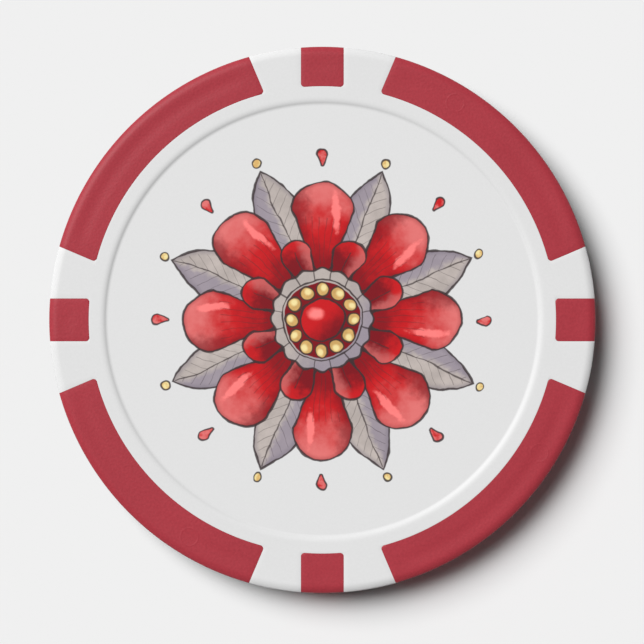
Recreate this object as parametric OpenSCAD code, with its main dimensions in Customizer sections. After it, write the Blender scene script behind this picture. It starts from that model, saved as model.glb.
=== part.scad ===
// Two-shot moulded poker chip: a white body round a steel slug, red edge spots that run over the rim
// from face to face, and a printed label in a shallow seat on each face.
// The origin is the middle of the back face, +Z points out of the front face and +Y is the chip's north.

/* [Chip] */
// Diameter of the chip
chip_d = 39; // [36:0.5:44]
// Thickness of the chip
chip_t = 3.3; // [3:0.1:4]
// Width of the rim edges' rounding, seen from above
edge_w = 0.6; // [0.4:0.05:0.8]
// Radius of the gentle part of that rounding, next to the face
crown_r = 0.9; // [0.8:0.05:2]
// Radius of its tight part, next to the rim
edge_r = 0.2; // [0.1:0.05:0.35]

/* [Edge spots] */
// Depth of the spots, from the rim inwards
spot_depth = 2.85; // [2:0.05:3.5]
// Width of a short spot, whose side walls are parallel
short_spot_w = 3.05; // [2:0.05:4]
// Angle that a long spot spans at the rim
long_spot_angle = 58.8; // [50:0.2:62]
// Angle between a long spot's end walls and its centre line
long_wall_angle = 22; // [16:0.5:25]
// Radius of the spots' inner corners
spot_corner_r = 0.25; // [0.1:0.05:0.5]

/* [Sink dish in the spots' faces] */
// Flat land between the rim's rounding and the dish
dish_land = 0.12; // [0:0.01:0.3]
// Width of the dish
dish_w = 1.3; // [1:0.1:1.6]
// Depth of the dish
dish_depth = 0.03; // [0.02:0.01:0.1]

/* [Dovetail key between body and spots] */
// How far the key reaches from the body into the spots
key_reach = 1; // [0.6:0.1:1.4]
// Thickness of the key at its root
key_root_t = 0.8; // [0.6:0.1:1]
// Thickness of the key at its tip
key_tip_t = 1.4; // [1:0.1:1.8]

/* [Label seat] */
// Width of the white ring between the spots and the label seat
ring_w = 0.93; // [0.6:0.01:2]
// Width of the slope that leads down from the ring to the label
slope_w = 0.4; // [0.2:0.02:0.6]
// How far the label's face lies under the chip's face
label_drop = 0.13; // [0.05:0.01:0.25]
// Gap between the label's edge and the wall of its seat
label_gap = 0.02; // [0.02:0.01:0.2]
// Thickness of the label's printed film
label_t = 0.1; // [0.05:0.01:0.15]
// Thickness of the adhesive under the film
adhesive_t = 0.04; // [0.02:0.01:0.08]
// How far the adhesive stays back from the film's edge
adhesive_inset = 0.1; // [0.05:0.05:0.5]

/* [Steel slug] */
// Thickness of the slug
slug_t = 1.5; // [1:0.1:1.8]
// Width of the white wall between the slug and the spots
slug_wall = 1.65; // [1:0.05:3]
// Diameter of the hole in the middle of the slug
slug_hole_d = 4; // [2:0.5:6]
// Number of holes round the slug that the body's plastic flows through
flow_holes = 6; // [4:2:8]
// Diameter of each flow hole
flow_hole_d = 3; // [2:0.5:4]
// Diameter of the circle that the flow holes lie on
flow_circle_d = 20; // [16:1:22]
// Diameter of the mould pins that hold the slug, which leave holes under the labels
mould_pin_d = 2; // [1:0.25:2.5]

/* [Hidden] */
$fn = 180;
// Names of the spots' places, counted anticlockwise, and the angle from one spot to the next of its kind
LONG_PLACES = ["ne", "nw", "sw", "se"];
SHORT_PLACES = ["e", "n", "w", "s"];
SPOT_STEP = 360 / len(LONG_PLACES);
LONG_START = SPOT_STEP / 2;

RED = "#AC424A";
WHITE = "#E2E2E0";
PAPER = "#E3E3E1";
GLUE = "#D8D2BC";
STEEL = "#8C8F93";

// How far a cut runs past the face that it opens
cut = 1;
// How far the last point of a corner dips into the body, so that the corner crosses the inner wall cleanly
dip = 0.01;
// Straight steps in each rounded inner corner
corner_steps = 8;

chip_r = chip_d / 2;
spot_in_r = chip_r - spot_depth;
mid_z = chip_t / 2;

// The tight part of the rim's rounding touches the gentle part at this angle from the chip's axis
edge_turn = asin((edge_w - edge_r) / (crown_r - edge_r));
edge_h = crown_r - (crown_r - edge_r) * cos(edge_turn);

// A spot's wall is a line at wall_dir to the centre line, wall_off away from the chip's axis
short_wall_off = short_spot_w / 2;
long_wall_off = chip_r * sin(long_spot_angle / 2 - long_wall_angle);

dish_mid_r = chip_r - edge_w - dish_land - dish_w / 2;
dish_arc_r = (pow(dish_w / 2, 2) + pow(dish_depth, 2)) / (2 * dish_depth);

slope_r = spot_in_r - ring_w;
seat_r = slope_r - slope_w;
seat_depth = label_drop + label_t + adhesive_t;
label_r = seat_r - label_gap;
adhesive_r = label_r - adhesive_inset;

slug_r = spot_in_r - slug_wall;
flow_step = 360 / flow_holes;

// Points of a rounded inner corner, from the spot's wall round to the inner wall
function corner(wall_off, wall_dir) =
    let (
        mid_r = spot_in_r + spot_corner_r,
        lean = asin((wall_off - spot_corner_r) / mid_r),
        centre = mid_r * [cos(wall_dir + lean), sin(wall_dir + lean)],
        sweep = 90 + lean
    )
    [
        for (i = [0 : corner_steps])
            let (
                a = wall_dir + 90 + sweep * i / corner_steps,
                r = spot_corner_r + (i == corner_steps ? dip : 0)
            )
            centre + r * [cos(a), sin(a)]
    ];

function flipped(points) = [for (i = [len(points) - 1 : -1 : 0]) [points[i].x, -points[i].y]];

// Places a front feature on the back face
module to_back() {
    translate([0, 0, chip_t])
        mirror([0, 0, 1])
            children();
}

module both_faces() {
    children();
    to_back() children();
}

// Half section of the rounding where the front face meets the rim
module rim_edge() {
    translate([chip_r - edge_r, chip_t - edge_h]) circle(edge_r);
    translate([chip_r - edge_w, chip_t - crown_r])
        intersection() {
            circle(crown_r);
            polygon([[0, 0], [0, 2 * crown_r], 2 * crown_r * [sin(edge_turn), cos(edge_turn)]]);
        }
}

// The whole chip's outside, with rounded rim edges
module blank() {
    rotate_extrude() {
        square([chip_r - edge_w, chip_t]);
        translate([0, edge_h]) square([chip_r, chip_t - 2 * edge_h]);
        rim_edge();
        translate([0, chip_t]) mirror([0, 1]) rim_edge();
    }
}

// Dovetail ring that holds the spots in the body
module key() {
    root = key_root_t / 2;
    tip = key_tip_t / 2;
    rotate_extrude()
        translate([spot_in_r, mid_z])
            polygon([[-cut, -root], [0, -root], [key_reach, -tip], [key_reach, tip], [0, root], [-cut, root]]);
}

// Outline of a spot whose centre line is +X, from inside the inner wall to past the rim
module spot_plan(wall_off, wall_dir) {
    inner = corner(wall_off, wall_dir);
    past_rim = chip_r + cut;
    end = [past_rim, past_rim * tan(wall_dir) + wall_off / cos(wall_dir)];
    polygon(concat([end], inner, flipped(inner), flipped([end])));
}

// The room that a spot takes up: from face to face, outside the inner wall and clear of the key
module pocket(wall_off, wall_dir) {
    difference() {
        translate([0, 0, -cut])
            linear_extrude(chip_t + 2 * cut)
                spot_plan(wall_off, wall_dir);
        translate([0, 0, -2 * cut])
            cylinder(r = spot_in_r, h = chip_t + 4 * cut);
        key();
    }
}

module long_pocket() {
    pocket(long_wall_off, long_wall_angle);
}

module short_pocket() {
    pocket(short_wall_off, 0);
}

// Shallow ring-shaped dish where the thick spots shrank as they set
module dish() {
    rotate_extrude()
        translate([dish_mid_r, chip_t - dish_depth + dish_arc_r])
            circle(dish_arc_r);
}

// Fills a pocket, rounded at the rim and dished on both faces
module spot() {
    difference() {
        intersection() {
            blank();
            children();
        }
        both_faces() dish();
    }
}

module long_spot(place) {
    color(RED)
        rotate(LONG_START + SPOT_STEP * place)
            spot() long_pocket();
}

module short_spot(place) {
    color(RED)
        rotate(SPOT_STEP * place)
            spot() short_pocket();
}

// Slope, straight wall and floor of the front label seat
module label_seat() {
    translate([0, 0, chip_t - seat_depth])
        cylinder(r = seat_r, h = seat_depth + cut);
    translate([0, 0, chip_t - label_drop])
        cylinder(r1 = seat_r, r2 = slope_r + cut * slope_w / label_drop, h = label_drop + cut);
}

module slug() {
    difference() {
        translate([0, 0, mid_z - slug_t / 2])
            cylinder(r = slug_r, h = slug_t);
        cylinder(d = slug_hole_d, h = chip_t);
        for (i = [0 : flow_holes - 1])
            rotate(i * flow_step)
                translate([flow_circle_d / 2, 0, 0])
                    cylinder(d = flow_hole_d, h = chip_t);
    }
}

// Holes from the front label seat down to the slug, in every other gap between the flow holes
module mould_pin_holes() {
    for (i = [0 : 2 : flow_holes - 1])
        rotate((i + 0.5) * flow_step)
            translate([flow_circle_d / 2, 0, mid_z])
                cylinder(d = mould_pin_d, h = chip_t);
}

module chip_body() {
    color(WHITE)
        difference() {
            blank();
            for (place = [0 : len(LONG_PLACES) - 1])
                rotate(SPOT_STEP * place) {
                    short_pocket();
                    rotate(LONG_START) long_pocket();
                }
            both_faces() {
                label_seat();
                mould_pin_holes();
            }
            slug();
        }
}

module steel_slug() {
    color(STEEL) slug();
}

module front_adhesive() {
    color(GLUE)
        translate([0, 0, chip_t - seat_depth])
            cylinder(r = adhesive_r, h = adhesive_t);
}

module front_label() {
    color(PAPER)
        translate([0, 0, chip_t - label_drop - label_t])
            cylinder(r = label_r, h = label_t);
}

module back_adhesive() {
    to_back() front_adhesive();
}

module back_label() {
    to_back() front_label();
}

chip_body();
steel_slug();
for (place = [0 : len(LONG_PLACES) - 1]) {
    long_spot(place);
    short_spot(place);
}
front_adhesive();
back_adhesive();
front_label();
back_label();
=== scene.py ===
"""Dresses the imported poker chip: white body, red edge spots, printed labels, steel slug and stage."""

import math
from collections import namedtuple

import bmesh
import bpy
from bpy.props import FloatProperty, FloatVectorProperty, PointerProperty
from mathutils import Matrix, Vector


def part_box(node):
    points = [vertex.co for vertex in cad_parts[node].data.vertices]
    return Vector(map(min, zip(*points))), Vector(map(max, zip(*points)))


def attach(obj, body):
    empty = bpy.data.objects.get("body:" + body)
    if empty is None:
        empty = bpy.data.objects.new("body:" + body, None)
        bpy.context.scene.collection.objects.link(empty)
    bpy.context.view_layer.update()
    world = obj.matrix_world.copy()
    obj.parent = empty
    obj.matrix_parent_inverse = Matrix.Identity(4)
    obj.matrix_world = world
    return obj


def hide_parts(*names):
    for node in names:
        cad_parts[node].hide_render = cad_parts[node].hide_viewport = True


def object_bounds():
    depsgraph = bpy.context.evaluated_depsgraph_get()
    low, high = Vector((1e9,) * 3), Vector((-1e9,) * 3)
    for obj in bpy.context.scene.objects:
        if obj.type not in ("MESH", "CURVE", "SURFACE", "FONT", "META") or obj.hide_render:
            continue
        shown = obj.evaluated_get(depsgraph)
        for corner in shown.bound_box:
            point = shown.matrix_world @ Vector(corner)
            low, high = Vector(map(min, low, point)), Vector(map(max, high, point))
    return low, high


bl_info = {
    "name": "Poker chip",
    "version": (1, 0, 0),
    "blender": (4, 5, 0),
    "location": "3D View > Sidebar > Chip",
    "description": "Moulded poker chip with edge spots, a printed label on each face and a steel slug",
    "category": "Object",
}

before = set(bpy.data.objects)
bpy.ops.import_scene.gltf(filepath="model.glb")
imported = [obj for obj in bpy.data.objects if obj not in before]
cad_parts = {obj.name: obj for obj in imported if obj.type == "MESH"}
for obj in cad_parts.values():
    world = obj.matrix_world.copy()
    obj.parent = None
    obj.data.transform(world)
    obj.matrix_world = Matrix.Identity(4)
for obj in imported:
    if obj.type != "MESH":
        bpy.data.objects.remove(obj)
cad_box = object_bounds()

MM = 0.001
# Points closer than this are one point
WELD = 0.0001 * MM
TAU = 2 * math.pi

# Spots in anticlockwise order from +X, and the angle from one to the next
SPOT_PLACES = ("e", "ne", "n", "nw", "w", "sw", "s", "se")
SPOT_STEP = TAU / len(SPOT_PLACES)
# Long spots that an ejector pin has left its mark on, and the mark's angle from the centre line there
MARKED_PLACES = ("ne", "sw", "se")
MARK_ANGLE = math.radians(13.5)

# The chip's main sizes, read off the frame
CHIP_RADIUS = (cad_box[1].x - cad_box[0].x) / 2
CHIP_THICKNESS = cad_box[1].z - cad_box[0].z
LABEL_LOW, LABEL_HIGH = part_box("front_label")
LABEL_RADIUS = (LABEL_HIGH.x - LABEL_LOW.x) / 2
SHORT_LOW, SHORT_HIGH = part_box("short_spot_e")
LONG_HALF_ANGLE = SPOT_STEP - math.acos(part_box("long_spot_ne")[1].x / CHIP_RADIUS)
SEAT_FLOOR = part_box("front_adhesive")[0].z

# How much smaller a visual label's radius is than the solid's
LABEL_INSET = 0.03 * MM
# Depth of a short spot's dish, as a share of a long spot's
SHORT_DISH = 0.7

# Distances from a seam, in shares of its rounding, that get points of their own
SEAM_SHARES = (0, 0.1, 0.35, 0.7, 1)
# Depths from a spot's inner wall, in shares of its corner radius, that get points of their own
CORNER_SHARES = (0.3, 0.5, 0.7, 0.85, 1)
# Places across the ridge of a pin mark, in shares of half its width, from outside inwards
MARK_SHARES = (1.4, 1, 0.66, 0.33, 0, -0.33, -0.66, -1, -1.6, -3, -5)
# Rings of points between a pin mark and the grid round it, in shares of the way to the grid
MARK_BLEND = (0.66, 0.33)
# Rows of a label seat's floor and of a label's faces, in shares of their radius
SEAT_SHARES = (1.0, 0.66, 0.33)
LABEL_SHARES = (0.25, 0.5, 0.75, 0.95, 1.0)
# Height of the row of points on the straight part of the rim, as a share of the thickness
RIM_SHARE = 0.6
# Edges that bend more than this are shaded as sharp ones
SHARP_ANGLE = math.radians(40)
# How sharply the slope at a label's edge curls at its foot and at its top, where 1 is an even slope
FOOT_CURL = 2.4
SHOULDER_CURL = 3.4

# Rows and columns of points in each part of the surfaces
FACE_ROWS = 16
CROWN_STEPS = 7
EDGE_STEPS = 6
FOOT_STEPS = 7
SHOULDER_STEPS = 13
RING_ROWS = 4
LONG_COLUMNS = 46
SHORT_COLUMNS = 8
WEB_COLUMNS = 8

# How strongly plastic and film mirror the light, on the shader's own scale
SHEEN = 0.15

# A label's map: the printed face's reach, the small copies' distance from the sides and their scale,
# and the scale of the cut edge's glued side
MAP_REACH = 0.48
MAP_CORNER = 0.055
MAP_SMALL = 0.1
MAP_EDGE = 0.06

# The photograph's frame, in pixels: its side, and the chip's middle and radius in it
PICTURE_SIDE = 644
PICTURE_CHIP_X = 322.37
PICTURE_CHIP_Y = 319.91
PICTURE_CHIP_RADIUS = 273.15


def srgb(red, green, blue):
    """A colour as a screen shows it, from 0 to 255, as the linear colour that nodes take."""
    def linear(level):
        share = level / 255
        return share / 12.92 if share <= 0.04045 else ((share + 0.055) / 1.055) ** 2.4

    return linear(red), linear(green), linear(blue)


def length(name, description, default):
    """A size in metres that a user can change."""
    return FloatProperty(
        name=name, description=description, default=default, min=0, precision=6, unit="LENGTH"
    )


def colour(name, description, default):
    """A colour that a user can change."""
    return FloatVectorProperty(
        name=name, description=description, default=default, size=3, min=0, max=1, subtype="COLOR"
    )


class ChipSizes(bpy.types.PropertyGroup):
    """Sizes of the chip's pieces."""

    radius: length("Radius", "Radius of the chip", CHIP_RADIUS)
    thickness: length("Thickness", "Thickness of the chip", CHIP_THICKNESS)
    edge_width: length("Rim edge width", "Width of the rim edges' rounding, seen from above", 0.6 * MM)
    crown: length("Rim edge crown", "Radius of that rounding's gentle part, next to the face", 0.9 * MM)
    edge: length("Rim edge", "Radius of its tight part, next to the rim", 0.2 * MM)
    spot_depth: length("Spot depth", "Depth of the edge spots from the rim inwards", 2.85 * MM)
    short_width: length("Short spot width", "Width of a short spot", SHORT_HIGH.y - SHORT_LOW.y)
    long_half_angle: FloatProperty(
        name="Long spot angle",
        description="Angle at the rim from a long spot's centre line to its end",
        default=LONG_HALF_ANGLE,
        subtype="ANGLE",
    )
    long_wall_angle: FloatProperty(
        name="Long spot wall angle",
        description="Angle between a long spot's end walls and its centre line",
        default=math.radians(22),
        subtype="ANGLE",
    )
    corner: length("Spot corner", "Radius of the spots' inner corners", 0.25 * MM)
    seam: length("Seam rounding", "Rounding of the edges on both sides of a seam", 0.012 * MM)
    dish_depth: length("Dish depth", "Depth of the sink dish along a long spot", 0.031 * MM)
    dish_width: length("Dish width", "Width of the sink dish", 1.5 * MM)
    dish_middle: length("Dish middle", "Radius of the sink dish's deepest line", 18.14 * MM)
    dish_end: length("Dish end", "Length over which the dish fades at a spot's ends", 2.2 * MM)
    mark_radius: length("Pin mark", "Radius of the ring that an ejector pin left", 0.64 * MM)
    mark_width: length("Pin mark width", "Width of that ring's ridge", 0.16 * MM)
    mark_height: length("Pin mark height", "Height of that ring's ridge", 0.008 * MM)
    label_radius: length("Label radius", "Radius of the printed labels", LABEL_RADIUS - LABEL_INSET)
    slope_foot: length("Slope foot", "Width from a label's edge to the slope's steepest line", 0.22 * MM)
    slope_shoulder: length("Slope shoulder", "Width from that line to the flat of the ring", 0.55 * MM)


class ChipColours(bpy.types.PropertyGroup):
    """Colours of the chip's materials and prints."""

    white: colour("White", "White moulded plastic", srgb(224, 224, 224))
    red: colour("Red", "Red moulded plastic", srgb(166, 55, 65))
    steel: colour("Steel", "Steel slug", srgb(140, 143, 147))
    glue: colour("Adhesive", "Adhesive under the labels", srgb(216, 210, 188))
    paper: colour("Label", "Label film where nothing is printed", srgb(225, 225, 225))
    ink: colour("Ink", "Ink of the drawn lines", srgb(52, 40, 42))
    print_red: colour("Print red", "Main red of the print", srgb(200, 24, 30))
    print_pink: colour("Print pink", "Light red of the print", srgb(228, 118, 116))
    print_dark: colour("Print dark red", "Shaded red of the print", srgb(122, 12, 24))
    print_stone: colour("Print grey", "Warm grey of the print", srgb(178, 168, 163))
    print_violet: colour("Print violet grey", "Shaded grey of the print", srgb(146, 136, 152))
    print_gold: colour("Print gold", "Gold of the print", srgb(222, 180, 110))
    print_cream: colour("Print cream", "Highlights of the print", srgb(246, 228, 164))


class Wire:
    """A socket of a node tree. Operators on it add Math nodes, and make adds any other node."""

    def __init__(self, tree, socket=None):
        self.tree = tree
        self.socket = socket

    def make(self, kind, settings=None, inputs=None, output=0):
        """Adds a node, sets its settings and then its sockets, and gives one of its outputs."""
        node = self.tree.nodes.new(kind)
        for name, value in (settings or {}).items():
            setattr(node, name, value)
        for place, value in (inputs or {}).items():
            if isinstance(value, Wire):
                self.tree.links.new(value.socket, node.inputs[place])
            else:
                node.inputs[place].default_value = value
        return Wire(self.tree, node.outputs[output])

    def maths(self, operation, *values):
        return self.make("ShaderNodeMath", {"operation": operation}, dict(enumerate(values)))

    def vector(self, operation, *values):
        return self.make("ShaderNodeVectorMath", {"operation": operation}, dict(enumerate(values)))

    def __add__(self, other):
        return self.maths("ADD", self, other)

    def __radd__(self, other):
        return self.maths("ADD", other, self)

    def __sub__(self, other):
        return self.maths("SUBTRACT", self, other)

    def __rsub__(self, other):
        return self.maths("SUBTRACT", other, self)

    def __mul__(self, other):
        return self.maths("MULTIPLY", self, other)

    def __rmul__(self, other):
        return self.maths("MULTIPLY", other, self)

    def __truediv__(self, other):
        return self.maths("DIVIDE", self, other)

    def __rtruediv__(self, other):
        return self.maths("DIVIDE", other, self)

    def __abs__(self):
        return self.maths("ABSOLUTE", self)

    def most(self, other):
        """The larger of two values."""
        return self.maths("MAXIMUM", self, other)

    def root(self):
        return self.maths("SQRT", self)

    def rise(self, start, end):
        """0 before start and 1 past end, with a smooth rise between them. A start above the end falls."""
        return self.make(
            "ShaderNodeMapRange",
            {"interpolation_type": "SMOOTHSTEP"},
            {0: self, 1: start, 2: end, 3: 0.0, 4: 1.0},
        )

    def blend(self, first, second):
        """Goes from the first colour to the second as this value goes from 0 to 1."""
        return self.make("ShaderNodeMix", {"data_type": "RGBA"}, {0: self, 6: first, 7: second}, 2)

    def noise(self, scale, detail=2.0, roughness=0.5, output=0):
        """Cloudy noise over this vector, around 0.5."""
        return self.make(
            "ShaderNodeTexNoise",
            {"noise_dimensions": "3D"},
            {"Vector": self, "Scale": scale, "Detail": detail, "Roughness": roughness},
            output,
        )


def opaque(linear):
    """A colour property as the four numbers that a colour socket takes."""
    return linear[0], linear[1], linear[2], 1.0


def shaded(linear, share):
    """A colour made lighter or darker by a share."""
    return opaque([level * share for level in linear])


def new_material(name):
    """An empty material, with a Wire to start from and its main shader's node."""
    material = bpy.data.materials.new(name)
    material.use_nodes = True
    shader = material.node_tree.nodes["Principled BSDF"]
    return material, Wire(material.node_tree), shader


def millimetres(start):
    """Place on the piece, in millimetres."""
    place = start.make("ShaderNodeTexCoord", output="Object")
    return start.vector("MULTIPLY", place, (1000.0, 1000.0, 1000.0))


def plug(shader, **sockets):
    """Links wires to the shader's sockets, and sets the sockets that are the same all over."""
    for name, value in sockets.items():
        socket = shader.inputs[name.replace("_", " ").title().replace("Ior", "IOR")]
        if isinstance(value, Wire):
            value.tree.links.new(value.socket, socket)
        else:
            socket.default_value = value


def emboss(start, shader, depth, height):
    """Gives the surface a fine relief of a depth."""
    bump = start.make("ShaderNodeBump", None, {"Strength": 1.0, "Distance": depth, "Height": height})
    plug(shader, normal=bump)


def moulded_plastic(name, base, grain, tooth):
    """Satin moulded plastic with mineral grain, faint flow clouds and a finely eroded skin."""
    material, start, shader = new_material(name)
    place = millimetres(start)
    clouds = place.noise(0.22, 3.0, 0.55)
    specks = place.noise(5.5, 2.0, 0.65)
    tone = (clouds - 0.5) * 0.5 + (specks - 0.5) * 1.2
    plug(shader, base_color=(tone * grain + 0.5).blend(shaded(base, 0.86), shaded(base, 1.14)))
    plug(shader, roughness=0.43 + (specks - 0.5) * 0.12 + (clouds - 0.5) * 0.06, specular_ior_level=SHEEN)
    emboss(start, shader, tooth, place.noise(6.5, 3.0, 0.6))
    return material


def white_plastic(colours):
    return moulded_plastic("white_plastic", colours.white, grain=0.2, tooth=0.002 * MM)


def red_plastic(colours):
    return moulded_plastic("red_plastic", colours.red, grain=1.15, tooth=0.014 * MM)


def pickled_steel(colours):
    """Punched strip steel: rolling streaks one way, dull oxide clouds and small pits."""
    material, start, shader = new_material("slug_steel")
    place = millimetres(start)
    rolled = start.vector("MULTIPLY", place, (0.3, 9.0, 2.0))
    streaks = rolled.noise(1.0, 4.0, 0.6)
    oxide = place.noise(0.45, 4.0, 0.6)
    pits = place.noise(7.0, 2.0, 0.5).rise(0.68, 0.76)
    tone = streaks * 0.6 + oxide * 0.4
    clean = tone.rise(0.3, 0.7).blend(shaded(colours.steel, 0.62), shaded(colours.steel, 1.2))
    plug(shader, base_color=(pits * 0.6).blend(clean, shaded(colours.steel, 0.35)))
    plug(shader, metallic=0.95, roughness=0.34 + oxide * 0.25 + pits * 0.2)
    emboss(start, shader, 0.004 * MM, streaks - pits)
    return material


def tacky_glue(colours):
    """Pressure-sensitive adhesive: creamy, with fine roller lines and small trapped bubbles."""
    material, start, shader = new_material("label_adhesive")
    place = millimetres(start)
    clouds = place.noise(0.6, 3.0, 0.6)
    bubbles = place.noise(2.6, 1.0, 0.4).rise(0.66, 0.72)
    lines = start.vector("MULTIPLY", place, (0.4, 6.0, 1.0)).noise(1.0, 2.0, 0.5)
    body = clouds.blend(shaded(colours.glue, 0.9), shaded(colours.glue, 1.08))
    plug(shader, base_color=(bubbles * 0.5).blend(body, shaded(colours.glue, 1.25)))
    plug(shader, roughness=0.22 + lines * 0.16 + bubbles * 0.15)
    emboss(start, shader, 0.006 * MM, lines + bubbles)
    return material


class Drawing:
    """An inked and washed print in millimetres round the middle of a label, laid down layer by layer."""

    def __init__(self, start, place, colours):
        self.colours = colours
        # The hand's wobble: a slow drift and a fine tremor
        drift = start.vector("SUBTRACT", place.noise(0.3, 1.0, 0.5, 1), (0.5, 0.5, 0.5))
        tremor = start.vector("SUBTRACT", place.noise(1.7, 1.0, 0.5, 1), (0.5, 0.5, 0.5))
        drift = start.vector("MULTIPLY", drift, (0.7, 0.7, 0.0))
        tremor = start.vector("MULTIPLY", tremor, (0.13, 0.13, 0.0))
        drawn = start.vector("ADD", start.vector("ADD", place, drift), tremor)
        self.x = start.make("ShaderNodeSeparateXYZ", None, {0: drawn})
        self.y = Wire(start.tree, self.x.socket.node.outputs["Y"])
        self.reach = (self.x * self.x + self.y * self.y).root()
        self.turn = start.maths("ARCTAN2", self.y, self.x)
        self.wash = place.noise(0.55, 4.0, 0.6)
        self.pool = place.noise(1.6, 3.0, 0.6)
        # Half the width of a drawn line, which swells and thins
        self.pen = place.noise(0.9, 2.0, 0.5).rise(0.3, 0.7) * 0.05 + 0.05
        grain = place.noise(9.0, 2.0, 0.5)
        self.paint = grain.blend(shaded(colours.paper, 0.975), shaded(colours.paper, 1.025))

    def arm(self, count, shift):
        """Distance along and across the nearest of a number of arms round the middle."""
        step = TAU / count
        folded = (self.turn.maths("FRACT", self.turn / step + (shift + 0.5)) - 0.5) * step
        return self.reach * folded.maths("COSINE", folded), self.reach * folded.maths("SINE", folded)

    def lay(self, field, fill, edge=0.03):
        """Paints the inside of a field, where it is below 0."""
        self.paint = field.rise(edge, -edge).blend(self.paint, fill)

    def stroke(self, field, weight=1.0, strength=0.92):
        """Draws an ink line where a field is 0."""
        off = abs(field) - self.pen * weight
        self.paint = (off.rise(0.03, -0.03) * strength).blend(self.paint, opaque(self.colours.ink))


def drop(along, across, start, end, start_radius, end_radius):
    """Field of a rounded shape that widens evenly from one end to the other."""
    spine = along.maths("MINIMUM", along.most(start), end)
    width = start_radius + (spine - start) * ((end_radius - start_radius) / (end - start))
    past = along - spine
    return (past * past + across * across).root() - width


def leaf(along, across, middle, half_length, half_width):
    """Field of a leaf between two arcs, pointed at both ends."""
    arc = (half_length ** 2 + half_width ** 2) / (2 * half_width)
    off = along - middle
    side = abs(across) + (arc - half_width)
    return (off * off + side * side).root() - arc


def round_spot(along, across, middle, radius):
    """Field of a disc on an arm."""
    off = along - middle
    return (off * off + across * across).root() - radius


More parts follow.
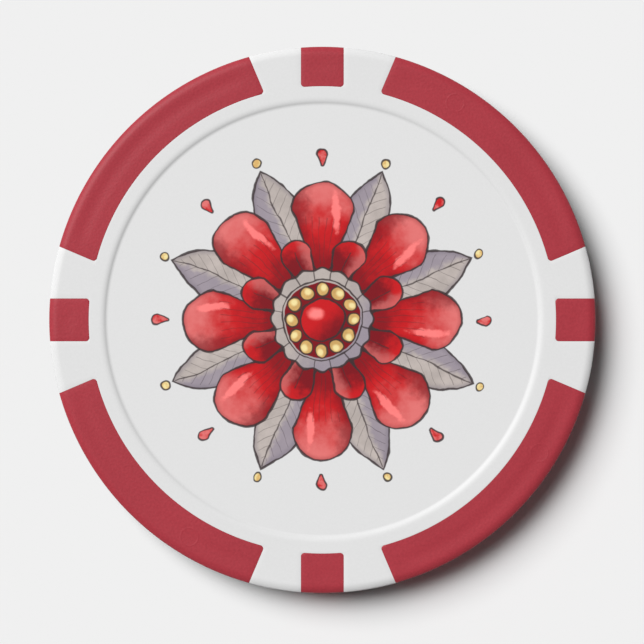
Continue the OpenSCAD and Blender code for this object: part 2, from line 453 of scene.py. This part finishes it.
def rosette(start, place, colours):
    """The print: a rosette of red petals over grey leaves, with a beaded gold ring round a red boss.

    Lengths are in millimetres.
    """
    art = Drawing(start, place, colours)
    names = ("red", "pink", "dark", "stone", "violet", "gold", "cream")
    tints = [opaque(getattr(colours, f"print_{name}")) for name in names]
    red, pink, dark, stone, violet, gold, cream = tints

    # Dark ground under the feet of the petals
    art.lay(art.reach - 4.0, dark)

    # Red seeds past the petals' tips, and gold dots past the leaves' tips
    along, across = art.arm(8, 0.0)
    seed = drop(along, across, 11.1, 11.75, 0.1, 0.36)
    art.lay(seed, art.pool.rise(0.35, 0.65).blend(red, pink))
    art.stroke(seed, 0.8)
    along, across = art.arm(8, 0.5)
    dot = round_spot(along, across, 12.1, 0.3)
    art.lay(dot, art.pool.rise(0.4, 0.6).blend(gold, cream))
    art.stroke(dot, 0.8)

    # Grey leaves between the petals
    blade = leaf(along, across, 7.4, 4.1, 1.75)
    tone = art.wash.rise(0.3, 0.7).blend(stone, shaded(colours.print_stone, 1.25))
    tone = ((across + art.pool - 0.5).rise(-0.1, 0.5) * 0.75).blend(tone, violet)
    tone = (blade.rise(-0.45, 0.0) * 0.45).blend(tone, shaded(colours.print_violet, 0.6))
    art.lay(blade, tone)
    veins = abs(along.maths("FRACT", (along - abs(across) * 1.1) / 0.85) - 0.5) * 0.85
    veins = veins.most(blade + 0.3)
    art.stroke(veins, 0.4, 0.5)
    art.stroke(abs(across).most(blade + 0.15), 0.6, 0.8)
    art.stroke(blade)

    # Red petals
    along, across = art.arm(8, 0.0)
    petal = drop(along, across, 4.0, 7.75, 0.7, 2.2)
    loose = along + (art.wash - 0.5) * 5.0
    tone = loose.rise(6.2, 9.8).blend(red, pink)
    tone = (loose.rise(6.6, 3.8) * 0.85).blend(tone, dark)
    tone = ((across + (art.pool - 0.5) * 1.4).rise(0.5, 1.8) * 0.7).blend(tone, dark)
    tone = (petal.rise(-0.4, 0.0) * 0.4).blend(tone, dark)
    sheen = ((along - 7.7) * (along - 7.7) * 0.35 + (across + 0.95) * (across + 0.95) * 7.0).root()
    sheen = sheen + (art.pool - 0.5) * 1.2
    tone = (sheen.rise(1.0, 0.5) * 0.75).blend(tone, shaded(colours.print_pink, 1.45))
    art.lay(petal, tone)
    rays = abs(art.turn.maths("FRACT", art.turn * (88 / TAU)) - 0.5) * art.reach * (TAU / 88)
    rays = rays.most(petal + 0.55).most(along * 0.6 - 4.3)
    art.stroke(rays, 0.35, 0.45)
    art.stroke(petal)

    # Small dark petals over the feet of the large ones
    along, across = art.arm(8, 0.5)
    small = drop(along, across, 3.0, 4.9, 0.55, 1.15)
    loose = along + (art.pool - 0.5) * 2.0
    tone = loose.rise(4.4, 6.0).blend(dark, red)
    tone = ((across + (art.pool - 0.5)).rise(0.0, -0.9) * 0.6).blend(tone, pink)
    art.lay(small, tone)
    art.stroke(abs(across).most(along - 5.2), 0.45, 0.7)
    art.stroke(small)

    # Notched stone collar
    collar = art.reach - 3.55 - art.turn.maths("COSINE", art.turn * 16.0) * 0.1
    tone = art.wash.rise(0.3, 0.7).blend(stone, shaded(colours.print_stone, 1.2))
    tone = ((art.x - art.y + (art.pool - 0.5) * 4.0).rise(-1.0, 3.5) * 0.8).blend(tone, violet)
    art.lay(collar, tone)
    along, across = art.arm(16, 0.5)
    notch = abs(across).most(collar)
    art.stroke(notch.most(2.9 - along), 0.6, 0.8)
    art.stroke(collar)
    art.stroke(art.reach - 2.85, 0.7)

    # Gold beads
    art.lay(art.reach - 2.7, dark)
    along, across = art.arm(12, 0.0)
    bead = round_spot(along, across, 2.2, 0.47)
    tone = art.pool.rise(0.3, 0.7).blend(gold, shaded(colours.print_gold, 0.8))
    tone = round_spot(along, across + 0.1, 2.3, 0.12).rise(0.2, 0.0).blend(tone, cream)
    art.lay(bead, tone)
    art.stroke(bead, 0.8)

    # Red boss in the middle
    boss = art.reach - 1.55
    tone = (art.x - art.y + (art.pool - 0.5) * 1.5).rise(-0.6, 2.0).blend(red, dark)
    glint = ((art.x + 0.5) * (art.x + 0.5) + (art.y - 0.5) * (art.y - 0.5) * 2.0).root()
    glint = glint + (art.pool - 0.5) * 0.4
    tone = (glint.rise(0.75, 0.25) * 0.9).blend(tone, shaded(colours.print_pink, 1.5))
    art.lay(boss, tone)
    art.stroke(boss)
    return art.paint


def printed_film(colours):
    """Matte label film with a fine coated grain, printed with the rosette."""
    material, start, shader = new_material("label_film")
    place = millimetres(start)
    plug(shader, base_color=rosette(start, place, colours))
    coat = place.noise(4.0, 3.0, 0.6)
    plug(shader, roughness=0.5 + (coat - 0.5) * 0.16, specular_ior_level=SHEEN)
    emboss(start, shader, 0.0012 * MM, coat)
    return material


# How a kind of spot is cut: its name, its walls' distance from the chip's axis, their angle to the
# centre line, how deep its dish is as a share of a long spot's, and how many columns of points it gets
SpotKind = namedtuple("SpotKind", "name offset lean dish columns")

# A row of points round the chip: its radius and height, and which way is out of the surface there
Row = namedtuple("Row", "radius height out_radius out_height")


def spot_kinds(sizes):
    """The short and the long kind of spot."""
    long_offset = sizes.radius * math.sin(sizes.long_half_angle - sizes.long_wall_angle)
    short = SpotKind("short", sizes.short_width / 2, 0.0, SHORT_DISH, SHORT_COLUMNS)
    long = SpotKind("long", long_offset, sizes.long_wall_angle, 1.0, LONG_COLUMNS)
    return short, long


def inner_radius(sizes):
    """Radius of the spots' inner walls."""
    return sizes.radius - sizes.spot_depth


def corner_place(sizes, kind):
    """Middle of a spot's rounded inner corner, along its wall and away from the wall's own direction."""
    reach = inner_radius(sizes) + sizes.corner
    off = kind.offset - sizes.corner
    return math.sqrt(reach ** 2 - off ** 2), off


def half_angle(sizes, kind, radius):
    """Angle from a spot's centre line to its outline at a radius."""
    along, off = corner_place(sizes, kind)
    if radius >= math.hypot(along, kind.offset):
        return kind.lean + math.asin(kind.offset / radius)
    reach = inner_radius(sizes) + sizes.corner
    bend = (radius ** 2 + reach ** 2 - sizes.corner ** 2) / (2 * radius * reach)
    return kind.lean + math.atan2(off, along) + math.acos(min(bend, 1.0))


def past_outline(sizes, kind, radius, angle):
    """How far a point is outside a spot's outline, below 0 if inside. The angle is from its centre line."""
    turned = abs(angle) - kind.lean
    along, off = corner_place(sizes, kind)
    past_wall = radius * math.sin(turned) - off
    past_inner = inner_radius(sizes) + sizes.corner - radius
    if past_wall > 0 and past_inner > 0:
        return math.hypot(radius * math.cos(turned) - along, past_wall) - sizes.corner
    return max(past_wall, past_inner) - sizes.corner


def seam_drop(sizes, distance):
    """How far the surface sinks at a distance from a seam, where its edge is rounded."""
    left = sizes.seam - abs(distance)
    if left <= 0:
        return 0.0
    return sizes.seam - math.sqrt(max(sizes.seam ** 2 - left ** 2, 0.0))


def seam_steps(sizes):
    """Distances from a seam that get points of their own."""
    return [sizes.seam * share for share in SEAM_SHARES]


def even(start, end, count):
    """Evenly spaced values between two ends, without the ends."""
    return [start + (end - start) * (i + 1) / (count + 1) for i in range(count)]


def spread(sizes, radius, start, end, count):
    """Angles from seam to seam at a radius, close together near both seams and even between."""
    margins = [step / radius for step in seam_steps(sizes)]
    near = [start + margin for margin in margins]
    far = [end - margin for margin in reversed(margins)]
    return near + even(near[-1], far[0], count) + far


def edge_turn(sizes):
    """Angle from the chip's axis at which the two parts of the rim's rounding meet."""
    return math.asin((sizes.edge_width - sizes.edge) / (sizes.crown - sizes.edge))


def edge_height(sizes):
    """Height of the rim's rounding."""
    return sizes.crown - (sizes.crown - sizes.edge) * math.cos(edge_turn(sizes))


def crown_drop(sizes, radius):
    """How far the gentle part of the rim's rounding lies under the face at a radius."""
    past = max(radius - sizes.radius + sizes.edge_width, 0.0)
    return sizes.crown - math.sqrt(sizes.crown ** 2 - past ** 2)


def rim_rows(sizes):
    """Rows of the rounding from the front face to the straight part of the rim."""
    meet = edge_turn(sizes)
    arcs = [(sizes.crown, sizes.edge_width, sizes.crown, 0.0, meet, CROWN_STEPS)]
    arcs.append((sizes.edge, sizes.edge, edge_height(sizes), meet, TAU / 4, EDGE_STEPS))
    rows = []
    for bend, inset, sunk, start, end, steps in arcs:
        for step in range(1, steps + 1):
            turn = start + (end - start) * step / steps
            out, up = math.sin(turn), math.cos(turn)
            height = sizes.thickness - sunk + bend * up
            rows.append(Row(sizes.radius - inset + bend * out, height, out, up))
    return rows


def face_rows(sizes):
    """Rows of a flat face from the spots' inner walls to the rim, and of the front half of the rim."""
    inner = inner_radius(sizes)
    rim_start = sizes.radius - sizes.edge_width
    radii = [inner + step for step in seam_steps(sizes)]
    radii += [inner + sizes.corner * share for share in CORNER_SHARES]
    radii += even(radii[-1], rim_start, FACE_ROWS) + [rim_start]
    rows = [Row(radius, sizes.thickness, 0.0, 1.0) for radius in radii] + rim_rows(sizes)
    return rows + [Row(sizes.radius, sizes.thickness * RIM_SHARE, 1.0, 0.0)]


def polar(radius, angle, height):
    """A point from its radius, angle and height."""
    return radius * math.cos(angle), radius * math.sin(angle), height


def sunk_point(sizes, row, angle, sunk, back):
    """A place on a row, sunk into the surface, on the front half or under it on the back half."""
    height = row.height - row.out_height * sunk
    radius = row.radius - row.out_radius * sunk
    return polar(radius, angle, sizes.thickness - height if back else height)


def smooth(share):
    """0 to 1 with no kink at either end."""
    share = min(max(share, 0.0), 1.0)
    return share * share * (3 - 2 * share)


def hump(off):
    """1 at 0 and 0 from 1 on, with no kink between."""
    return 0.5 + 0.5 * math.cos(math.pi * min(off, 1.0))


def add_object(name, data):
    """Puts an object with some data in the scene."""
    made = bpy.data.objects.new(name, data)
    bpy.context.scene.collection.objects.link(made)
    return made


class Skin:
    """A piece's surface while it is being built."""

    def __init__(self):
        self.mesh = bmesh.new()

    def row(self, points):
        return [self.mesh.verts.new(point) for point in points]

    def join(self, first, second, closed=False, skip=()):
        """Faces between two rows of points that run side by side."""
        count = len(first)
        for i in range(count if closed else count - 1):
            j = (i + 1) % count
            if i not in skip:
                self.mesh.faces.new((first[i], first[j], second[j], second[i]))

    def fan(self, row, point):
        """Faces between a closed row and one point inside it."""
        tip = self.mesh.verts.new(point)
        for i, vert in enumerate(row):
            self.mesh.faces.new((vert, row[(i + 1) % len(row)], tip))

    def close(self):
        """Drops points that no face uses and turns all faces outwards."""
        loose = [vert for vert in self.mesh.verts if not vert.link_faces]
        bmesh.ops.delete(self.mesh, geom=loose, context="VERTS")
        bmesh.ops.recalc_face_normals(self.mesh, faces=self.mesh.faces)

    def piece(self, name, material, slot, node):
        """Makes the object, which takes a CAD node's place."""
        data = bpy.data.meshes.new(name)
        self.mesh.to_mesh(data)
        self.mesh.free()
        data.shade_smooth()
        data.set_sharp_from_angle(angle=SHARP_ANGLE)
        data.materials.append(material)
        piece = add_object(name, data)
        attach(piece, "root")
        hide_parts(node)
        # The floor gets the piece's shadow but not the light that the piece throws back, unless the
        # stage asks for that
        piece.visible_diffuse = False
        return piece


class Spot:
    """One edge spot at an angle round the chip."""

    def __init__(self, sizes, kind, turn, marked):
        self.sizes = sizes
        self.kind = kind
        self.turn = turn
        self.marked = marked

    def dip(self, radius, angle):
        """Depth of the sink dish at a place on a face. The angle is from the spot's centre line."""
        sizes = self.sizes
        across = abs(radius - sizes.dish_middle) / (sizes.dish_width / 2)
        to_end = (half_angle(sizes, self.kind, radius) - abs(angle)) * radius
        fade = smooth(to_end / sizes.dish_end)
        return sizes.dish_depth * self.kind.dish * fade * hump(across)

    def point(self, row, angle, back):
        """A place on the front half of the spot's surface, or on the back half."""
        sizes = self.sizes
        sunk = seam_drop(sizes, past_outline(sizes, self.kind, row.radius, angle))
        if row.out_height == 1.0:
            sunk += self.dip(row.radius, angle)
        return sunk_point(sizes, row, self.turn + angle, sunk, back)

    def angles(self, radius):
        """Angles of a row's points from the centre line."""
        reach = half_angle(self.sizes, self.kind, radius)
        return spread(self.sizes, radius, -reach, reach, self.kind.columns)

    def half(self, skin, back):
        """Builds the front or back half and gives its rows."""
        rows = face_rows(self.sizes)
        made = []
        for row in rows:
            made.append(skin.row(self.point(row, angle, back) for angle in self.angles(row.radius)))
        marked = self.marked and not back
        window = self.mark_window(rows) if marked else None
        for i in range(len(rows) - 1):
            inside = marked and window[0] <= i < window[1]
            skin.join(made[i], made[i + 1], skip=range(window[2], window[3]) if inside else ())
        if marked:
            self.pin_mark(skin, made, window)
        return made

    def mark_middle(self):
        """Radius and angle of the ejector pin's mark on a long spot."""
        return self.sizes.dish_middle, MARK_ANGLE

    def mark_window(self, rows):
        """First and last row and column of the grid's window that the pin mark fills."""
        radius, angle = self.mark_middle()
        room = self.sizes.mark_radius + self.sizes.mark_width
        low = max(i for i, row in enumerate(rows) if row.radius < radius - room)
        high = min(i for i, row in enumerate(rows) if row.radius > radius + room)
        columns = self.angles(radius)
        left = max(i for i, column in enumerate(columns) if column < angle - room / radius)
        right = min(i for i, column in enumerate(columns) if column > angle + room / radius)
        return low, high, left, right

    def pin_mark(self, skin, made, window):
        """Fills the window with rings of points that carry the thin ridge of the pin's mark."""
        low, high, left, right = window
        sizes = self.sizes
        border = [made[low][j] for j in range(left, right)]
        border += [made[i][right] for i in range(low, high)]
        border += [made[high][j] for j in range(right, left, -1)]
        border += [made[i][left] for i in range(high, low, -1)]
        radius, angle = self.mark_middle()
        middle = Vector(polar(radius, self.turn + angle, 0.0)).to_2d()
        half_width = sizes.mark_width / 2
        reaches = [sizes.mark_radius + half_width * share for share in MARK_SHARES]
        spokes = [vert.co.to_2d() - middle for vert in border]
        last = border
        for share in MARK_BLEND:
            places = [middle + spoke.lerp(spoke.normalized() * reaches[0], 1 - share) for spoke in spokes]
            last = self.mark_loop(skin, last, places, 0.0)
        for reach in reaches:
            ridge = sizes.mark_height * hump(abs(reach - sizes.mark_radius) / half_width)
            places = [middle + spoke.normalized() * reach for spoke in spokes]
            last = self.mark_loop(skin, last, places, ridge)
        skin.fan(last, (*middle, self.face_height(middle)))

    def mark_loop(self, skin, last, places, ridge):
        """Adds a closed row of points over the face, inside the last one."""
        loop = skin.row((*place, self.face_height(place) + ridge) for place in places)
        skin.join(last, loop, closed=True)
        return loop

    def face_height(self, place):
        """Height of the dished front face at a place in plan."""
        angle = math.atan2(place.y, place.x) - self.turn
        angle = (angle + math.pi) % TAU - math.pi
        sunk = self.dip(place.length, angle) + crown_drop(self.sizes, place.length)
        return self.sizes.thickness - sunk

    def build(self, name, material, node):
        skin = Skin()
        front = self.half(skin, False)
        back = self.half(skin, True)
        skin.join(front[-1], back[-1])
        skin.join(self.border(front), self.border(back))
        skin.close()
        return skin.piece(name, material, "red_plastic", node)

    def border(self, rows):
        """Points of a half along one end wall, the inner wall and the other end wall."""
        start = [row[0] for row in reversed(rows)]
        end = [row[-1] for row in rows]
        return start + rows[0][1:-1] + end


class Body:
    """The white body: a ring with a label seat on both faces, and a web to the rim between all spots."""

    def __init__(self, sizes):
        self.sizes = sizes
        self.kinds = [spot_kinds(sizes)[place % 2] for place in range(len(SPOT_PLACES))]

    def past_spots(self, radius, angle):
        """Distance from a place to the nearest spot."""
        nearest = round(angle / SPOT_STEP)
        gaps = []
        for place in (nearest - 1, nearest, nearest + 1):
            kind = self.kinds[place % len(self.kinds)]
            gaps.append(past_outline(self.sizes, kind, radius, angle - place * SPOT_STEP))
        return min(gaps)

    def web_angles(self, place, radius):
        """Angles of the points across the web after a spot."""
        start = place * SPOT_STEP + half_angle(self.sizes, self.kinds[place], radius)
        after = self.kinds[(place + 1) % len(self.kinds)]
        end = (place + 1) * SPOT_STEP - half_angle(self.sizes, after, radius)
        return spread(self.sizes, radius, start, end, WEB_COLUMNS)

    def point(self, row, angle, back):
        """A place on the front half of the body's surface, or on the back half."""
        sunk = seam_drop(self.sizes, self.past_spots(row.radius, angle))
        return sunk_point(self.sizes, row, angle, sunk, back)

    def ring_rows(self):
        """Rows of the ring from the foot of the slope at the label's edge to the spots' inner walls."""
        sizes = self.sizes
        foot = sizes.label_radius
        steepest = foot + sizes.slope_foot
        top = steepest + sizes.slope_shoulder
        steps = seam_steps(sizes)
        radii = [foot, *even(foot, steepest, FOOT_STEPS), steepest]
        radii += [*even(steepest, top, SHOULDER_STEPS), top]
        radii += even(top, inner_radius(sizes) - steps[-1], RING_ROWS)
        radii += [inner_radius(sizes) - step for step in reversed(steps)]
        return [Row(radius, sizes.thickness - self.slope_drop(radius), 0.0, 1.0) for radius in radii]

    def slope_drop(self, radius):
        """How far the slope down to the label lies under the face. It is level at its foot and its top."""
        sizes = self.sizes
        past = radius - sizes.label_radius - sizes.slope_foot
        # The two parts share the drop so that they are equally steep where they meet
        foot_part = sizes.slope_foot / FOOT_CURL
        shoulder_part = sizes.slope_shoulder / SHOULDER_CURL
        steepness = (sizes.thickness - LABEL_HIGH.z) / (foot_part + shoulder_part)
        if past < 0:
            risen = max(1 + past / sizes.slope_foot, 0.0) ** FOOT_CURL
            return steepness * (shoulder_part + foot_part * (1 - risen))
        return steepness * shoulder_part * max(1 - past / sizes.slope_shoulder, 0.0) ** SHOULDER_CURL

    def ring_angles(self):
        """Angles of the ring's points: for each spot those along it and those across the web after it."""
        inner = inner_radius(self.sizes)
        angles = []
        for place, kind in enumerate(self.kinds):
            reach = half_angle(self.sizes, kind, inner)
            along = even(place * SPOT_STEP - reach, place * SPOT_STEP + reach, kind.columns)
            angles.append((along, self.web_angles(place, inner)))
        return angles

    def all_angles(self):
        """The same angles in one list."""
        return [angle for along, across in self.ring_angles() for angle in along + across]

    def half(self, skin, back):
        """Builds the front or back half and gives its arcs along the spots and its webs' rows."""
        angles = self.all_angles()
        ring = [skin.row(self.point(row, angle, back) for angle in angles) for row in self.ring_rows()]
        for low, high in zip(ring, ring[1:]):
            skin.join(low, high, closed=True)
        self.seat(skin, ring[0], angles, back)
        made_arcs, webs, taken = [], [], 0
        for place, (along, across) in enumerate(self.ring_angles()):
            made_arcs.append(ring[-1][taken:taken + len(along)])
            taken += len(along)
            width = len(across)
            rows = [ring[-1][taken:taken + width]]
            taken += width
            for row in face_rows(self.sizes)[1:]:
                web = self.web_angles(place, row.radius)
                rows.append(skin.row(self.point(row, angle, back) for angle in web))
                skin.join(rows[-2], rows[-1])
            webs.append(rows)
        return made_arcs, webs

    def seat(self, skin, foot, angles, back):
        """Wall and floor of a label seat, under the label."""
        floor = self.sizes.thickness - SEAT_FLOOR if back else SEAT_FLOOR
        reach = self.sizes.label_radius
        last = foot
        for share in SEAT_SHARES:
            row = skin.row(polar(reach * share, angle, floor) for angle in angles)
            skin.join(last, row, closed=True)
            last = row
        skin.fan(last, (0.0, 0.0, floor))

    def build(self, name, material):
        skin = Skin()
        front_arcs, front_webs = self.half(skin, False)
        back_arcs, back_webs = self.half(skin, True)
        for place in range(len(self.kinds)):
            skin.join(front_webs[place][-1], back_webs[place][-1])
            front = self.pocket(front_webs[place - 1], front_arcs[place], front_webs[place])
            back = self.pocket(back_webs[place - 1], back_arcs[place], back_webs[place])
            skin.join(front, back)
        skin.close()
        self.slug_room(skin)
        return skin.piece(name, material, "white_plastic", "chip_body")

    def pocket(self, before, arc, after):
        """Points round a spot's pocket, from the rim to the inner wall and back."""
        return [row[-1] for row in reversed(before)] + arc + [row[0] for row in after]

    def slug_room(self, skin):
        """The room inside the body that the steel slug fills: the slug's own surface, turned inwards."""
        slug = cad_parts["steel_slug"].data
        verts = skin.row(vert.co for vert in slug.vertices)
        for face in slug.polygons:
            skin.mesh.faces.new([verts[i] for i in reversed(face.vertices)])
        bmesh.ops.remove_doubles(skin.mesh, verts=verts, dist=WELD)


class Label:
    """A printed label: a thin disc of cut film."""

    def __init__(self, sizes):
        self.sizes = sizes
        self.film = LABEL_HIGH.z - LABEL_LOW.z

    def build(self, name, material, node, middle_height, flipped):
        """Makes a label round its own middle, then puts it in its seat, turned over on the back."""
        skin = Skin()
        reach = self.sizes.label_radius
        top = self.film / 2
        outline = [(reach * share, top) for share in LABEL_SHARES]
        outline += [(radius, -height) for radius, height in reversed(outline)]
        # The same points round the edge as the ring has, so that the two run side by side
        angles = Body(self.sizes).all_angles()
        rows = [skin.row(polar(radius, angle, height) for angle in angles) for radius, height in outline]
        for low, high in zip(rows, rows[1:]):
            skin.join(low, high, closed=True)
        skin.fan(rows[0], (0.0, 0.0, top))
        skin.fan(rows[-1], (0.0, 0.0, -top))
        skin.close()
        self.print_map(skin.mesh)
        piece = skin.piece(name, material, "label_film", node)
        piece.location.z = middle_height
        piece.rotation_euler.y = math.pi if flipped else 0.0
        return piece

    def print_map(self, mesh):
        """Gives the printed face nearly the whole map, and the glued face and the edge a corner each."""
        layer = mesh.loops.layers.uv.new("OFBake")
        full = MAP_REACH / self.sizes.label_radius
        for face in mesh.faces:
            for loop in face.loops:
                place = loop.vert.co
                if face.normal.z > 0.5:
                    right, up, scale = 0.5, 0.5, full
                elif face.normal.z < -0.5:
                    right, up, scale = MAP_CORNER, MAP_CORNER, full * MAP_SMALL
                else:
                    share = MAP_SMALL if place.z > 0 else MAP_EDGE
                    right, up, scale = 1 - MAP_CORNER, MAP_CORNER, full * share
                loop[layer].uv = right + place.x * scale, up + place.y * scale


class CHIP_OT_body(bpy.types.Operator):
    """Adds the white moulded body"""

    bl_idname = "chip.body"
    bl_label = "White body"
    bl_options = {"REGISTER", "UNDO"}

    def execute(self, context):
        material = white_plastic(context.scene.chip_colours)
        Body(context.scene.chip_sizes).build("moulded_body", material)
        return {"FINISHED"}


class CHIP_OT_spots(bpy.types.Operator):
    """Adds the four short and the four long red edge spots"""

    bl_idname = "chip.spots"
    bl_label = "Edge spots"
    bl_options = {"REGISTER", "UNDO"}

    def execute(self, context):
        sizes = context.scene.chip_sizes
        material = red_plastic(context.scene.chip_colours)
        for i, place in enumerate(SPOT_PLACES):
            kind = spot_kinds(sizes)[i % 2]
            spot = Spot(sizes, kind, i * SPOT_STEP, place in MARKED_PLACES)
            spot.build(f"red_{kind.name}_spot_{place}", material, f"{kind.name}_spot_{place}")
        return {"FINISHED"}


class CHIP_OT_labels(bpy.types.Operator):
    """Adds the printed label of each face"""

    bl_idname = "chip.labels"
    bl_label = "Printed labels"
    bl_options = {"REGISTER", "UNDO"}

    def execute(self, context):
        sizes = context.scene.chip_sizes
        material = printed_film(context.scene.chip_colours)
        height = (LABEL_LOW.z + LABEL_HIGH.z) / 2
        Label(sizes).build("printed_label_front", material, "front_label", height, False)
        Label(sizes).build("printed_label_back", material, "back_label", sizes.thickness - height, True)
        return {"FINISHED"}


class CHIP_OT_core(bpy.types.Operator):
    """Finishes the steel slug and the adhesive under the labels"""

    bl_idname = "chip.core"
    bl_label = "Slug and adhesive"
    bl_options = {"REGISTER", "UNDO"}

    def execute(self, context):
        colours = context.scene.chip_colours
        finishes = {"steel_slug": pickled_steel(colours)}
        finishes["front_adhesive"] = finishes["back_adhesive"] = tacky_glue(colours)
        for name, material in finishes.items():
            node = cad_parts[name]
            node.data.materials.clear()
            node.data.materials.append(material)
        return {"FINISHED"}


class CHIP_OT_stage(bpy.types.Operator):
    """Adds the floor, the lights and the camera"""

    bl_idname = "chip.stage"
    bl_label = "Stage"
    bl_options = {"REGISTER", "UNDO"}

    # Level that the floor shows at, and the share of its light that comes from all round
    backdrop = srgb(240, 240, 240)[0]
    fill = 0.057
    # Soft boxes, one above the other: share of the floor's light, elevation and width in degrees, and
    # the angle round the chip that both stand at
    boxes = {"low_box": (0.64, 50, 35), "high_box": (0.303, 61, 27)}
    azimuth = math.radians(141)
    # Spots on the far side from the lamps, which throw some of their red into the shadow
    shadow_side = ("red_short_spot_s", "red_long_spot_se", "red_short_spot_e")
    # Focal length, which sets how far off the camera stands and how much of the floor the rim hides
    lens = 135.0
    # Half the floor's side, in metres, and its gap to the chip, so that no two faces share a plane
    floor_reach = 2.0
    floor_gap = 0.005 * MM

    def execute(self, context):
        self.floor()
        for name, (share, elevation, width) in self.boxes.items():
            self.soft_box(name, share, math.radians(elevation), math.radians(width))
        self.surroundings()
        for name in self.shadow_side:
            bpy.data.objects[name].visible_diffuse = True
        self.camera(context.scene.chip_sizes)
        return {"FINISHED"}

    def floor(self):
        material, start, shader = new_material("stage_floor")
        level = (self.backdrop, self.backdrop, self.backdrop, 1.0)
        plug(shader, base_color=level, roughness=1.0, specular_ior_level=0.0)
        reach = self.floor_reach
        data = bpy.data.meshes.new("stage_floor")
        corners = [(-reach, -reach, 0.0), (reach, -reach, 0.0), (reach, reach, 0.0), (-reach, reach, 0.0)]
        data.from_pydata(corners, [], [(0, 1, 2, 3)])
        data.materials.append(material)
        floor = add_object("stage_floor", data)
        floor.location.z = -self.floor_gap

    def soft_box(self, name, share, elevation, width):
        light = bpy.data.lights.new(name, "SUN")
        light.angle = width
        light.energy = math.pi * share / math.sin(elevation)
        lamp = add_object(name, light)
        away = Vector(polar(math.cos(elevation), self.azimuth, math.sin(elevation)))
        lamp.rotation_euler = (-away).to_track_quat("-Z", "Y").to_euler()

    def surroundings(self):
        """Light from all round, which the camera and reflections see at the floor's level."""
        world = bpy.data.worlds.new("studio")
        bpy.context.scene.world = world
        world.use_nodes = True
        rays = Wire(world.node_tree).make("ShaderNodeLightPath", output="Is Camera Ray")
        seen = rays
        for kind in ("Is Glossy Ray", "Is Transmission Ray"):
            seen = seen.most(Wire(world.node_tree, rays.socket.node.outputs[kind]))
        strength = self.fill + seen * (self.backdrop - self.fill)
        background = world.node_tree.nodes["Background"]
        background.inputs["Color"].default_value = (1.0, 1.0, 1.0, 1.0)
        world.node_tree.links.new(strength.socket, background.inputs["Strength"])

    def camera(self, sizes):
        """Looks straight down, from where the chip's outline has the photograph's size and place."""
        data = bpy.data.cameras.new("camera")
        data.lens = self.lens
        pixel = sizes.radius / PICTURE_CHIP_RADIUS
        rise = PICTURE_SIDE * pixel * self.lens / data.sensor_width
        camera = add_object("camera", data)
        camera.location = (
            (PICTURE_SIDE / 2 - PICTURE_CHIP_X) * pixel,
            (PICTURE_CHIP_Y - PICTURE_SIDE / 2) * pixel,
            sizes.thickness - edge_height(sizes) + rise,
        )
        data.clip_start = 0.01
        data.clip_end = 10.0
        bpy.context.scene.camera = camera
        bpy.context.scene.view_settings.view_transform = "Standard"


class CHIP_PT_panel(bpy.types.Panel):
    """Lists what builds the chip, and its sizes and colours"""

    bl_idname = "CHIP_PT_panel"
    bl_label = "Poker chip"
    bl_space_type = "VIEW_3D"
    bl_region_type = "UI"
    bl_category = "Chip"

    def draw(self, context):
        column = self.layout.column()
        for operator in OPERATORS:
            column.operator(operator.bl_idname)
        for group in (context.scene.chip_sizes, context.scene.chip_colours):
            column.separator()
            for name in group.__annotations__:
                column.prop(group, name)


OPERATORS = (CHIP_OT_body, CHIP_OT_spots, CHIP_OT_labels, CHIP_OT_core, CHIP_OT_stage)
CLASSES = (ChipSizes, ChipColours, *OPERATORS, CHIP_PT_panel)


def register():
    for each in CLASSES:
        bpy.utils.register_class(each)
    bpy.types.Scene.chip_sizes = PointerProperty(type=ChipSizes)
    bpy.types.Scene.chip_colours = PointerProperty(type=ChipColours)


def unregister():
    del bpy.types.Scene.chip_colours
    del bpy.types.Scene.chip_sizes
    for each in reversed(CLASSES):
        bpy.utils.unregister_class(each)


def main():
    register()
    for operator in OPERATORS:
        group, name = operator.bl_idname.split(".")
        getattr(getattr(bpy.ops, group), name)()


if __name__ == "__main__":
    main()
